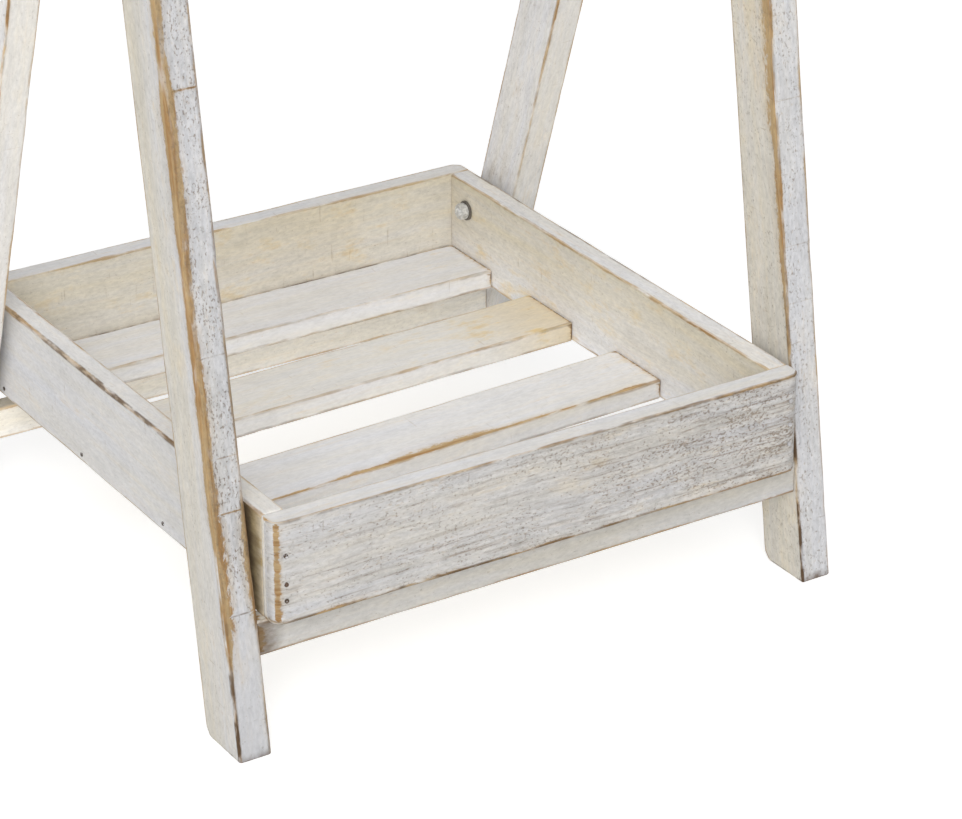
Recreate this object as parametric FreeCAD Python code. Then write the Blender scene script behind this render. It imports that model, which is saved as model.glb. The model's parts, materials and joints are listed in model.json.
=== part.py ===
import FreeCAD, Part
import math
import os

V = FreeCAD.Vector
X_AXIS = V(1, 0, 0)
Y_AXIS = V(0, 1, 0)
Z_AXIS = V(0, 0, 1)
ORIGIN = V(0, 0, 0)
LEFT = -1
RIGHT = 1

# Folding plant stand: two leg frames hinged at the top, two slatted trays that pivot on the rear legs.
# Millimetres and degrees. +Z up, front towards -Y, origin on the floor in the middle of the footprint.

# Stand: tray heights are shares of its height, and the legs meet at a share of its depth from the front
stand_height = 600.0
stand_depth = 345.0
meeting_drop = 36.8
meeting_place_share = 0.35
lower_tray_height_share = 0.109
upper_tray_height_share = 0.655

# Legs: the wide face looks sideways, the narrow face looks forward
leg_width = 32.0
leg_thickness = 17.0
leg_gap = 5.0
leg_ease = 1.3
heel_radius = 5.0
leg_top_radius = 4.0

# Trays
tray_length = 298.0
tray_overhang = 8.7
board_height = 53.5
board_thickness = 12.0
board_corner_radius = 6.0
board_ease = 1.2

# Tray floors: a slat takes its share of the pitch, the rest is open, and some are nailed in askew by degrees
slat_width_share = 0.5
slat_thickness = 11.0
slat_ease = 1.0
lower_slat_skews = (0.0, 1.7, 2.5, 0.0)
upper_slat_skews = (0.0, 0.0)

# Crossbars under the trays and rails at the top
crossbar_height = 18.0
crossbar_thickness = 11.0
rail_height = 30.0
rail_thickness = 11.0
rail_drop = 4.0
bar_ease = 1.0
dowel_radius = 3.0
dowel_depth = 11.0
dowel_tip = 1.0

# Tray pivots
pivot_setback = 28.3
pivot_rise = 37.5
bolt_radius = 2.5
bolt_head_radius = 6.5
bolt_head_height = 3.0
bolt_tip = 1.5
spacer_radius = 5.5
washer_radius = 5.5
washer_thickness = 1.0
nut_across_flats = 8.0
nut_height = 4.0
nut_chamfer = 0.5

# Hinges between the leg frames
hinge_width = 15.0
hinge_edge_gap = 2.5
leaf_length = 28.0
leaf_thickness = 1.2
leaf_corner_radius = 3.0
knuckle_radius = 2.2
hinge_pin_radius = 1.1
hinge_pin_head_radius = 1.7
hinge_pin_head = 0.7
screw_radius = 1.3
screw_head_radius = 2.4
screw_length = 12.0
screw_place_shares = (0.42, 0.80)

# Nails: the corner nails' heights are shares of the board, the slat nails' places are shares of the slat
nail_radius = 0.7
nail_length = 30.0
nail_head_radius = 1.1
nail_head_height = 0.6
nail_proud = 0.2
left_nail_height_shares = (0.23, 0.39, 0.67)
right_nail_height_shares = (0.30, 0.50, 0.74)
back_nail_height_shares = (0.18, 0.42)
slat_nail_place_share = 0.5
slat_nail_height_share = 0.38

# Clearances and cuts
running_clearance = 0.05
side_clearance = 0.15
stop_clearance = 0.3
swing_clearance = 2.5
knuckle_clearance = 0.3
overrun = 10.0
parallel_share = 0.999


# Side view of the frames: where the leg faces lie at a height above the floor

def lean_to_meet(run):
    """Lean of a leg that stands with its outer edge that far from the line where the frames meet."""
    reach = math.hypot(run, meeting_z)
    return math.degrees(math.acos(leg_width / reach) - math.atan2(meeting_z, run))


meeting_z = stand_height - meeting_drop
front_lean = lean_to_meet(stand_depth * meeting_place_share)
rear_lean = lean_to_meet(stand_depth * (1 - meeting_place_share))
lower_tray_bottom = stand_height * lower_tray_height_share
upper_tray_bottom = stand_height * upper_tray_height_share


def lean_shift(lean, z):
    return z * math.tan(math.radians(lean))


def level_width(lean):
    return leg_width / math.cos(math.radians(lean))


def front_leg_front(z):
    return lean_shift(front_lean, z) - stand_depth / 2


def front_leg_back(z):
    return front_leg_front(z) + level_width(front_lean)


def rear_leg_back(z):
    return stand_depth / 2 - lean_shift(rear_lean, z)


def rear_leg_front(z):
    return rear_leg_back(z) - level_width(rear_lean)


def rear_leg_middle(z):
    return (rear_leg_front(z) + rear_leg_back(z)) / 2


def mitre_height(gap):
    """Height where the rear leg's front face comes within a level gap of the front leg's back face."""
    closing = math.tan(math.radians(front_lean)) + math.tan(math.radians(rear_lean))
    return meeting_z - gap / closing


def hinge_point():
    """Hinge pin, below the legs' meeting line and equally far from both leg edges."""
    below = hinge_edge_gap / math.sin(math.radians(front_lean + rear_lean) / 2)
    tilt = math.radians(rear_lean - front_lean) / 2
    return V(0, front_leg_back(meeting_z) + below * math.sin(tilt), meeting_z - below * math.cos(tilt))


def pivot_point(tray_bottom):
    z = tray_bottom + pivot_rise
    return V(0, rear_leg_middle(z), z)


leg_inner_x = tray_length / 2 + leg_gap
leg_middle_x = leg_inner_x + leg_thickness / 2
leg_outer_x = leg_inner_x + leg_thickness
stop_run = stop_clearance / math.cos(math.radians(front_lean))
board_inner_x = tray_length / 2 - board_thickness


# Shapes that several pieces share

def block(low, high):
    """Box between two opposite corners."""
    return Part.makeBox(high.x - low.x, high.y - low.y, high.z - low.z, low)


def edges_along(shape, axis):
    def runs_along(edge):
        return abs(edge.tangentAt(edge.FirstParameter).dot(axis)) > parallel_share
    return [edge for edge in shape.Edges if runs_along(edge)]


def edges_level(shape, z):
    """Edges that lie wholly at one height."""
    return [edge for edge in shape.Edges if edge.BoundBox.ZLength < board_ease
            and abs(edge.BoundBox.ZMin - z) < board_ease]


def turned(points):
    """Solid turned about the X axis from (along, radius) points that start and end on the axis."""
    wire = Part.makePolygon([V(along, radius, 0) for along, radius in points + points[:1]])
    return Part.Face(wire).revolve(ORIGIN, X_AXIS, 360)


def rod(start, end, radius):
    return turned([(start, 0), (start, radius), (end, radius), (end, 0)])


def ring(start, end, radius, bore):
    return rod(start, end, radius).cut(rod(start - overrun, end + overrun, bore))


def placed(shape, place, flipped=False):
    """Copy of a shape made about the X axis, turned end for end if flipped, moved to a place."""
    copy = shape.copy()
    if flipped:
        copy.rotate(ORIGIN, Z_AXIS, 180)
    copy.translate(place)
    return copy


def both_sides(shape, place):
    """A shape that points inward from the left, and its twin on the right."""
    left = placed(shape, V(-place.x, place.y, place.z))
    return [left, placed(shape, place, flipped=True)]


def both_ends(shape, place):
    """A shape that points outward to the right, and its twin on the left."""
    right = placed(shape, place)
    return [right, placed(shape, V(-place.x, place.y, place.z), flipped=True)]


# Legs

def side_profile(side, points, rounded):
    """Side view outline as a slab over one leg, with some of its corners rounded."""
    start_x = side * leg_middle_x - leg_thickness / 2 - overrun
    wire = Part.makePolygon([V(start_x, y, z) for y, z in points + points[:1]])
    slab = Part.Face(wire).extrude(X_AXIS * (leg_thickness + 2 * overrun))
    for (y, z), radius in rounded:
        near = [edge for edge in edges_along(slab, X_AXIS)
                if math.hypot(edge.CenterOfMass.y - y, edge.CenterOfMass.z - z) < leg_ease]
        slab = slab.makeFillet(radius, near)
    return slab


def leg_bar(side, middle_y, lean):
    """Eased bar that leans back by an angle about the floor line and overruns both ends."""
    length = stand_height + 2 * stand_depth
    low = V(-leg_thickness / 2, -leg_width / 2, -stand_depth)
    bar = Part.makeBox(leg_thickness, leg_width, length, low)
    bar = bar.makeFillet(leg_ease, edges_along(bar, Z_AXIS))
    bar.rotate(ORIGIN, X_AXIS, lean)
    bar.translate(V(side * leg_middle_x, middle_y, 0))
    return bar


def dowel_holes(side, places):
    """Blind holes in a leg's inner face."""
    hole = rod(-overrun, dowel_depth + running_clearance, dowel_radius + running_clearance)
    return [placed(hole, V(side * leg_inner_x, y, z), flipped=side == LEFT) for y, z in places]


def front_leg(side):
    top = stand_height
    heel = (front_leg_back(0), 0)
    peak = (front_leg_front(top), top)
    outline = [(front_leg_front(0), 0), heel, (front_leg_back(top), top), peak]
    middle = (front_leg_front(0) + front_leg_back(0)) / 2
    profile = side_profile(side, outline, [(heel, heel_radius), (peak, leg_top_radius)])
    leg = leg_bar(side, middle, -front_lean).common(profile)
    return leg.cut(dowel_holes(side, [bar_middle(*bar) for bar in front_bars.values()]))


def rear_leg(side):
    """Its top is cut to bear on the front leg's back face, which stops the frames spreading."""
    top = stand_height
    mitre = mitre_height(stop_run)
    heel = (rear_leg_front(0), 0)
    peak = (rear_leg_back(top), top)
    bearing = [(front_leg_back(top) + stop_run, top), (rear_leg_front(mitre), mitre)]
    outline = [heel, (rear_leg_back(0), 0), peak] + bearing
    profile = side_profile(side, outline, [(heel, heel_radius), (peak, leg_top_radius)])
    leg = leg_bar(side, rear_leg_middle(0), rear_lean).common(profile)
    bore = rod(-leg_outer_x - overrun, leg_outer_x + overrun, bolt_radius + running_clearance)
    bores = [placed(bore, pivot_point(bottom)) for bottom in (lower_tray_bottom, upper_tray_bottom)]
    return leg.cut(bores + dowel_holes(side, [bar_middle(*bar) for bar in rear_bars.values()]))


# Crossbars and rails: each is (front y, thickness, bottom z, height), level and square between the legs

def crossbar_place(tray_bottom):
    """Under the front of a tray, which rests on it."""
    bottom = tray_bottom - crossbar_height
    return front_leg_front(tray_bottom), crossbar_thickness, bottom, crossbar_height


def rear_crossbar_place():
    """Clear of the arc that the lower tray's rear corner swings through."""
    swing = math.hypot(pivot_setback, pivot_rise) + swing_clearance
    bottom = pivot_point(lower_tray_bottom).z - swing - crossbar_height
    return rear_leg_front(bottom), crossbar_thickness, bottom, crossbar_height


rail_top = stand_height - rail_drop
front_bars = {
    "lower_crossbar": crossbar_place(lower_tray_bottom),
    "upper_crossbar": crossbar_place(upper_tray_bottom),
    "front_top_rail": (front_leg_front(rail_top), rail_thickness, rail_top - rail_height, rail_height),
}
rear_bars = {
    "rear_crossbar": rear_crossbar_place(),
    "rear_top_rail": (rear_leg_back(rail_top) - rail_thickness, rail_thickness,
                      rail_top - rail_height, rail_height),
}


def bar_middle(front_y, thickness, bottom, height):
    return front_y + thickness / 2, bottom + height / 2


def bar(front_y, thickness, bottom, height):
    low = V(-leg_inner_x, front_y, bottom)
    solid = block(low, V(leg_inner_x, front_y + thickness, bottom + height))
    solid = solid.makeFillet(bar_ease, edges_along(solid, X_AXIS))
    y, z = bar_middle(front_y, thickness, bottom, height)
    hole = rod(-overrun, dowel_depth + running_clearance, dowel_radius + running_clearance)
    return solid.cut(both_sides(hole, V(leg_inner_x, y, z)))


def dowels(front_y, thickness, bottom, height):
    tip = dowel_radius - dowel_tip
    dowel = turned([(-dowel_depth, 0), (-dowel_depth, tip), (dowel_tip - dowel_depth, dowel_radius),
                    (dowel_depth - dowel_tip, dowel_radius), (dowel_depth, tip), (dowel_depth, 0)])
    y, z = bar_middle(front_y, thickness, bottom, height)
    return both_ends(dowel, V(leg_inner_x, y, z))


def bar_dowels(bars):
    return Part.makeCompound([dowel for place in bars.values() for dowel in dowels(*place)])


# Trays

def tray_span(bottom):
    """Front and back faces: the front overhangs its crossbar, the back lies behind the pivot."""
    return front_leg_front(bottom) - tray_overhang, pivot_point(bottom).y + pivot_setback


def end_board(outer_y, inner_y, bottom):
    """Front or back board, over the ends of the side boards, with rounded outer corners."""
    low = V(-tray_length / 2, min(outer_y, inner_y), bottom)
    board = block(low, V(tray_length / 2, max(outer_y, inner_y), bottom + board_height))
    corners = [edge for edge in edges_along(board, Z_AXIS)
               if abs(edge.CenterOfMass.y - outer_y) < board_ease]
    board = board.makeFillet(board_corner_radius, corners)
    arrises = edges_level(board, bottom) + edges_level(board, bottom + board_height)
    return board.makeFillet(board_ease, arrises)


def side_board(side, front_y, back_y, bottom):
    low = V(min(side * board_inner_x, side * tray_length / 2), front_y, bottom)
    board = block(low, V(low.x + board_thickness, back_y, bottom + board_height))
    board = board.makeFillet(board_ease, edges_along(board, Y_AXIS))
    bore = rod(-tray_length, tray_length, bolt_radius + running_clearance)
    return board.cut(placed(bore, pivot_point(bottom)))


def slat_spans(front_y, back_y, count):
    """Front and back edges of the slats, from the back board to the front board."""
    pitch = (back_y - front_y) / (count - 1 + slat_width_share)
    backs = [back_y - pitch * index for index in range(count)]
    return [(back - pitch * slat_width_share, back) for back in backs]


def askew(y, x, skew):
    """Where a line that crosses the middle of the tray at y lies at a place to its side."""
    return y + x * math.tan(math.radians(skew))


def slat(front_y, back_y, skew, bottom):
    ends = [(-board_inner_x, front_y), (board_inner_x, front_y),
            (board_inner_x, back_y), (-board_inner_x, back_y)]
    corners = [V(x, askew(y, x, skew), bottom) for x, y in ends]
    solid = Part.Face(Part.makePolygon(corners + corners[:1])).extrude(Z_AXIS * slat_thickness)
    arrises = [edge for edge in solid.Edges if edge.BoundBox.XLength > board_inner_x]
    return solid.makeFillet(slat_ease, arrises)


def nail():
    """Nail along +X with the top of its head just proud of the wood at x = 0."""
    neck = nail_head_height - nail_proud
    point = nail_length - nail_radius
    return turned([(-nail_proud, 0), (-nail_proud, nail_head_radius), (neck, nail_head_radius),
                   (neck, nail_radius), (point, nail_radius), (nail_length, 0)])


def corner_nails(front_y, back_y, bottom):
    driven_back = nail()
    driven_back.rotate(ORIGIN, Z_AXIS, 90)
    inset = tray_length / 2 - board_thickness / 2
    rows = [(LEFT, front_y, left_nail_height_shares), (RIGHT, front_y, right_nail_height_shares),
            (LEFT, back_y, back_nail_height_shares), (RIGHT, back_y, back_nail_height_shares)]
    return [placed(driven_back, V(side * inset, y, bottom + share * board_height), flipped=y == back_y)
            for side, y, shares in rows for share in shares]


def slat_nails(spans, skews, bottom):
    height = bottom + slat_nail_height_share * slat_thickness
    nails = []
    for (front_y, back_y), skew in zip(spans, skews):
        y = front_y + slat_nail_place_share * (back_y - front_y)
        for side in (LEFT, RIGHT):
            x = side * tray_length / 2
            nails.append(placed(nail(), V(x, askew(y, x, skew), height), flipped=side == RIGHT))
    return nails


def tray(name, bottom, slat_skews):
    front_y, back_y = tray_span(bottom)
    inner_front = front_y + board_thickness
    inner_back = back_y - board_thickness
    spans = slat_spans(inner_front, inner_back, len(slat_skews))
    pieces = {
        "front_board": end_board(front_y, inner_front, bottom),
        "back_board": end_board(back_y, inner_back, bottom),
        "left_board": side_board(LEFT, inner_front, inner_back, bottom),
        "right_board": side_board(RIGHT, inner_front, inner_back, bottom),
        "corner_nails": Part.makeCompound(corner_nails(front_y, back_y, bottom)),
        "slat_nails": Part.makeCompound(slat_nails(spans, slat_skews, bottom)),
    }
    for number, (span, skew) in enumerate(zip(spans, slat_skews), start=1):
        pieces[f"slat_{number}"] = slat(*span, skew, bottom)
    return {f"{name}_{piece}": solid for piece, solid in pieces.items()}


# Tray pivots: bolt from outside the leg, spacer in the gap, washer and nut inside the tray

def dome(radius, height):
    """Round head that stands out along -X from a flat base at x = 0."""
    ball_radius = (radius ** 2 + height ** 2) / (2 * height)
    ball = Part.makeSphere(ball_radius, V(ball_radius - height, 0, 0))
    return ball.common(block(V(-height, -radius, -radius), V(0, radius, radius)))


def nut(start):
    corner_radius = nut_across_flats / math.sqrt(3)
    turns = [math.radians(60 * corner) for corner in range(7)]
    corners = [V(start, corner_radius * math.cos(turn), corner_radius * math.sin(turn)) for turn in turns]
    hexagon = Part.Face(Part.makePolygon(corners)).extrude(X_AXIS * nut_height)
    end = start + nut_height
    flat_radius = corner_radius - nut_chamfer
    turned_ends = turned([(start, 0), (start, flat_radius), (start + nut_chamfer, corner_radius),
                          (end - nut_chamfer, corner_radius), (end, flat_radius), (end, 0)])
    bore = rod(start - overrun, end + overrun, bolt_radius + running_clearance)
    return hexagon.common(turned_ends).cut(bore)


def pivot_hardware(name, bottom):
    """Each piece is made along +X from the leg's outer face at x = 0 and set on both sides."""
    gap_start = leg_thickness
    tray_start = gap_start + leg_gap
    washer_start = tray_start + board_thickness + side_clearance
    nut_start = washer_start + washer_thickness
    bolt_end = nut_start + nut_height + bolt_tip
    shank = turned([(0, 0), (0, bolt_radius), (bolt_end - bolt_tip / 2, bolt_radius),
                    (bolt_end, bolt_radius - bolt_tip / 2), (bolt_end, 0)])
    bore = bolt_radius + running_clearance
    pieces = {
        "bolts": dome(bolt_head_radius, bolt_head_height).fuse(shank).removeSplitter(),
        "spacers": ring(gap_start, tray_start - side_clearance, spacer_radius, bore),
        "washers": ring(washer_start, nut_start, washer_radius, bore),
        "nuts": nut(nut_start),
    }
    place = pivot_point(bottom) + X_AXIS * leg_outer_x
    return {f"{name}_pivot_{piece}": Part.makeCompound(both_sides(solid, place))
            for piece, solid in pieces.items()}


# Hinges: made about the pin along X, with the leaf hanging down and the leg on its +Y side

knuckle_length = (hinge_width - 2 * knuckle_clearance) / 3
middle_knuckle = [(-knuckle_length / 2, knuckle_length / 2)]
outer_knuckles = [(-hinge_width / 2, knuckle_length - hinge_width / 2),
                  (hinge_width / 2 - knuckle_length, hinge_width / 2)]


def hinge_screw(clearance):
    """Countersunk screw along +X with the flat of its head at x = 0."""
    head = screw_head_radius + clearance
    shank = screw_radius + clearance
    return turned([(0, 0), (0, head), (head - shank, shank),
                   (screw_length - shank, shank), (screw_length, 0)])


def hinge_screws(clearance):
    screw = hinge_screw(clearance)
    screw.rotate(ORIGIN, Z_AXIS, 90)
    face_y = hinge_edge_gap - leaf_thickness
    return [placed(screw, V(0, face_y, -share * leaf_length)) for share in screw_place_shares]


def hinge_leaf(own, other):
    low = V(-hinge_width / 2, hinge_edge_gap - leaf_thickness, -leaf_length)
    plate = block(low, V(hinge_width / 2, hinge_edge_gap, 0))
    lower_corners = [edge for edge in edges_along(plate, Y_AXIS)
                     if edge.CenterOfMass.z < -leaf_length / 2]
    plate = plate.makeFillet(leaf_corner_radius, lower_corners)
    room = knuckle_radius + knuckle_clearance
    plate = plate.cut([rod(start - knuckle_clearance, end + knuckle_clearance, room)
                       for start, end in other])
    leaf = plate.fuse([rod(start, end, knuckle_radius) for start, end in own]).removeSplitter()
    bore = rod(-hinge_width, hinge_width, hinge_pin_radius + running_clearance)
    return leaf.cut([bore] + hinge_screws(running_clearance))


def hinge_pin():
    end = hinge_width / 2 + running_clearance
    tip = end + hinge_pin_head
    half = [(end, hinge_pin_radius), (end, hinge_pin_head_radius), (tip, hinge_pin_radius), (tip, 0)]
    return turned([(-along, radius) for along, radius in reversed(half)] + half)


def on_leg_edge(shape, side, turn, lean):
    """Turns a hinge piece to face its leg, leans it along the leg's edge and moves it to the pin."""
    copy = shape.copy()
    copy.rotate(ORIGIN, Z_AXIS, turn)
    copy.rotate(ORIGIN, X_AXIS, lean)
    copy.translate(hinge_point() + X_AXIS * (side * leg_middle_x))
    return copy


def hinges():
    frames = {"front": (180, -front_lean, hinge_leaf(outer_knuckles, middle_knuckle)),
              "rear": (0, rear_lean, hinge_leaf(middle_knuckle, outer_knuckles))}
    pieces = {}
    for frame, (turn, lean, leaf) in frames.items():
        screws = [on_leg_edge(screw, side, turn, lean)
                  for side in (LEFT, RIGHT) for screw in hinge_screws(0)]
        pieces[f"{frame}_hinge_leaf_left"] = on_leg_edge(leaf, LEFT, turn, lean)
        pieces[f"{frame}_hinge_leaf_right"] = on_leg_edge(leaf, RIGHT, turn, lean)
        pieces[f"{frame}_hinge_screws"] = Part.makeCompound(screws)
    pieces["hinge_pin_left"] = on_leg_edge(hinge_pin(), LEFT, 0, 0)
    pieces["hinge_pin_right"] = on_leg_edge(hinge_pin(), RIGHT, 0, 0)
    return pieces


def build():
    nodes = {
        "front_leg_left": front_leg(LEFT),
        "front_leg_right": front_leg(RIGHT),
        "rear_leg_left": rear_leg(LEFT),
        "rear_leg_right": rear_leg(RIGHT),
        "rear_rail_dowels": bar_dowels(rear_bars),
        "crossbar_dowels": bar_dowels(front_bars),
    }
    nodes.update({name: bar(*place) for name, place in (front_bars | rear_bars).items()})
    nodes.update(hinges())
    for name, bottom, slat_skews in (("lower", lower_tray_bottom, lower_slat_skews),
                                     ("upper", upper_tray_bottom, upper_slat_skews)):
        nodes.update(tray(name, bottom, slat_skews))
        nodes.update(pivot_hardware(name, bottom))
    return nodes


os.makedirs("parts", exist_ok=True)
for node, shape in build().items():
    shape.exportStep(os.path.join("parts", node + ".step"))
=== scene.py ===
import json
import math
from dataclasses import dataclass, replace

import bpy
import numpy as np
from mathutils import Color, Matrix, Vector


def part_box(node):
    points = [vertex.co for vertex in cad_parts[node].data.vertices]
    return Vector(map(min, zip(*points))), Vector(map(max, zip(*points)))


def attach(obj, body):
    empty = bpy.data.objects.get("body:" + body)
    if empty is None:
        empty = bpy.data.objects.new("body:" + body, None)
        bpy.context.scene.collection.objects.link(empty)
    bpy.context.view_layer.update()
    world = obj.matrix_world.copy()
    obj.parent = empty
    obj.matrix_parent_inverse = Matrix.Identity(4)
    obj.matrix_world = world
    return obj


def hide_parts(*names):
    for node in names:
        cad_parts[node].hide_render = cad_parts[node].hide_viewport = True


bl_info = {
    "name": "Worn Folding Plant Stand",
    "version": (1, 0, 0),
    "blender": (4, 5, 0),
    "location": "3D View > Sidebar > Plant Stand",
    "description": "Dresses the folding plant stand in worn whitewashed wood and dull steel",
    "category": "Object",
}

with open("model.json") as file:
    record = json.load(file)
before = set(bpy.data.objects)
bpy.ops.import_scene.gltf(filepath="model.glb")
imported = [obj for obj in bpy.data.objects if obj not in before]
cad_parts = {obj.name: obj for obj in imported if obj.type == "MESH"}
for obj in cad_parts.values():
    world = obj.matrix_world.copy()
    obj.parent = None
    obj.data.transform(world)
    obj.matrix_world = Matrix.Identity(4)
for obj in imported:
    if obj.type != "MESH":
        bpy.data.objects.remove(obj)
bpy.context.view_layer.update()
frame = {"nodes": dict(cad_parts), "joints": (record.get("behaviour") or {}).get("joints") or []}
joints = {joint["name"]: joint for joint in frame["joints"]}

MM = 0.001
X, Y, Z = 0, 1, 2


# Leg geometry, from the joints: the pivots lie on the rear legs' middle lines, and the legs fold together

lower_pivot = Vector(joints["lower_tray_fold"]["pos_m"])
upper_pivot = Vector(joints["upper_tray_fold"]["pos_m"])
rear_slope = (lower_pivot.y - upper_pivot.y) / (upper_pivot.z - lower_pivot.z)
rear_lean = math.atan(rear_slope)
front_lean = math.radians(joints["frame_fold"]["range_deg"][1]) - rear_lean
front_slope = math.tan(front_lean)
rear_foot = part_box("rear_leg_right")[1].y
front_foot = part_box("front_leg_right")[0].y
rear_half = rear_foot - (lower_pivot.y + lower_pivot.z * rear_slope)
leg_width = 2 * rear_half * math.cos(rear_lean)
front_level_width = leg_width / math.cos(front_lean)


# What a user would change

def length(name, description, default):
    return bpy.props.FloatProperty(name=name, description=description, default=default, min=0,
                                   subtype="DISTANCE", unit="LENGTH", precision=5)


def share(name, description, default):
    return bpy.props.FloatProperty(name=name, description=description, default=default, min=0,
                                   subtype="FACTOR")


def power(name, description, default):
    return bpy.props.FloatProperty(name=name, description=description, default=default, min=0,
                                   subtype="POWER", unit="POWER")


def colour(name, description, default):
    return bpy.props.FloatVectorProperty(name=name, description=description, default=default, size=3,
                                         min=0, max=1, subtype="COLOR_GAMMA")


class WornWood(bpy.types.PropertyGroup):
    """Sizes of the worn bars."""

    ease: length("Arris", "Radius of an arris that is only handled", 1.0 * MM)
    chip: length("Chip", "Depth that knocks take from an arris", 1.4 * MM)
    end_ease: length("End arris", "Radius round the cut ends", 0.8 * MM)
    step: length("Step", "Distance between sections along a bar", 3.0 * MM)
    warp: length("Unevenness", "Depth of the planing marks in a face", 0.18 * MM)
    ridge: length("Saw ridges", "Depth between the saw ridges of a rough face", 0.8 * MM)
    ridge_pitch: length("Ridge pitch", "Distance between the saw ridges of a rough face", 3.8 * MM)
    heel: length("Heel", "Radius of the worn heel of a leg", 5.0 * MM)
    leg_top: length("Leg top", "Radius of the rounded corner at a leg's top", 4.0 * MM)
    board_corner: length("Board corner", "Radius of the trays' outer corners", 6.0 * MM)
    stop: length("Stop", "Play between the rear leg's mitre and the front leg", 0.3 * MM)


class Finishes(bpy.types.PropertyGroup):
    """Colours of the wash, the wood under it and the fittings."""

    cool_wash: colour("Cool wash", "Wash on the outer faces", (0.855, 0.855, 0.865))
    warm_wash: colour("Warm wash", "Yellowed wash on the inner faces", (0.86, 0.83, 0.755))
    wood: colour("Wood", "Softwood where the wash is worn off", (0.74, 0.635, 0.475))
    dark_wood: colour("Late wood", "Dark grain lines of the bare wood", (0.63, 0.49, 0.32))
    stain: colour("Stain", "Ochre that the wood bleeds into the wash", (0.82, 0.74, 0.57))
    # The handled line colour also lays the painted shade of gaps, feet and joint lines
    line: colour("Handled line", "Dirt rubbed into a worn arris", (0.38, 0.30, 0.22))
    # The pit colour also lays painted shade in the hollows between saw ridges
    pit: colour("Pits", "Dirt in the pits and torn grain", (0.56, 0.50, 0.44))
    zinc: colour("Zinc", "Dull plate on bolts, nuts and spacers", (0.92, 0.92, 0.91))
    # The washers' dark plate is painted shade: it stands in for the shadow ring round each nut
    washer: colour("Washer", "Darkened plate on the washers", (0.50, 0.48, 0.45))
    hinge: colour("Hinge plate", "Dull yellow plate on the hinges", (0.68, 0.65, 0.58))
    nail: colour("Nail", "Dark steel of the nail heads", (0.36, 0.32, 0.28))
    rust: colour("Rust", "Brown bloom on the steel", (0.38, 0.25, 0.16))


class Studio(bpy.types.PropertyGroup):
    """Camera, floor and light."""

    camera_place: bpy.props.FloatVectorProperty(
        name="Camera", description="Place of the camera", default=(-0.85296, -1.46267, 0.90337),
        subtype="TRANSLATION", unit="LENGTH")
    camera_turn: bpy.props.FloatVectorProperty(
        name="Turn", description="Tilt, roll and heading of the camera",
        default=(math.radians(63.690), 0.0, math.radians(-32.256)), subtype="EULER", unit="ROTATION")
    lens: bpy.props.FloatProperty(name="Lens", description="Focal length on a 36 mm sensor", default=137.36,
                                  subtype="DISTANCE_CAMERA", unit="CAMERA")
    floor_side: length("Floor", "Side of the square floor", 8.0)
    floor: colour("Floor colour", "Pale floor", (0.93, 0.93, 0.93))
    floor_lift: share("Floor lift", "White added to the floor for the camera alone", 0.46)
    sky_level: share("Sky level", "Even light from all round", 0.55)
    key_power: power("Key", "Soft light from the upper left", 40.0)
    fill_power: power("Fill", "Soft light from beside the camera", 22.0)
    ground_power: power("Ground", "Faint light up into the lower tray", 0.06)


def wood():
    return bpy.context.scene.plant_stand_wood


def finishes():
    return bpy.context.scene.plant_stand_finishes


def studio():
    return bpy.context.scene.plant_stand_studio


# Random lines and fields, the same at each run

def eased(part):
    return part * part * (3 - 2 * part)


def drift(seed, places, reach):
    """Smooth random line from 0 to 1 with a new value every reach."""
    at = (places - places.min()) / reach
    knots = np.random.default_rng(seed).random(int(at.max()) + 2)
    cell = at.astype(int)
    part = eased(at - cell)
    return knots[cell] * (1 - part) + knots[cell + 1] * part


def field(seed, along, across, reach_along, reach_across):
    """Smooth random surface from 0 to 1 over places along (rows) and across (columns)."""
    rows = (along - along.min()) / reach_along
    columns = (across - across.min()) / reach_across
    knots = np.random.default_rng(seed).random((int(rows.max()) + 2, int(columns.max()) + 2))
    row, column = rows.astype(int), columns.astype(int)
    down, right = eased(rows - row), eased(columns - column)
    return ((knots[row, column] * (1 - down) + knots[row + 1, column] * down) * (1 - right)
            + (knots[row, column + 1] * (1 - down) + knots[row + 1, column + 1] * down) * right)


def along_bar(value, places):
    """Value at each place along a bar, from one number or from (place, value) points."""
    if isinstance(value, float):
        return np.full(len(places), value)
    return np.interp(places, [place for place, _ in value], [level for _, level in value])


def widths(*points):
    """(place, width) points along a bar, from widths in millimetres."""
    return [(place, width * MM) for place, width in points]


# Worn bars

# Long faces by the axis that a bar runs along, counted round its section, and the way into the bar from each
FACES = {
    X: ("bottom", "back", "top", "front"),
    Y: ("left", "top", "right", "bottom"),
    Z: ("front", "right", "back", "left"),
}
INWARD = ((0, 1), (-1, 0), (0, -1), (1, 0))

# Points across each of these faces, and how much they crowd towards the arrises
LEG_POINTS = (7, 11, 7, 11)
CROSSBAR_POINTS = (5, 8, 5, 8)
SLAT_POINTS = (12, 5, 14, 5)
FRONT_BOARD_POINTS = (5, 18, 5, 56)
BACK_BOARD_POINTS = (5, 18, 5, 18)
SIDE_BOARD_POINTS = (18, 5, 18, 5)
CROWDING = 0.6

# Sections: turn of an arris, rings in a cut end, and sections beside a cut
TURN = np.radians([0, 30, 60, 90])
CAP_INSETS = np.array([4.2, 1.6]) * MM
CAP_SHARE = 0.4
CAP_MARGIN = 1.01
EASE_SHARE = 0.45
CUT_STEPS = np.array([-1.5, -0.6, 0.0, 0.6, 1.5]) * MM
CUT_ROOM = 1.2
CUT_END_ROOM = 1.1
CUT_KEEN = 1.8

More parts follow.
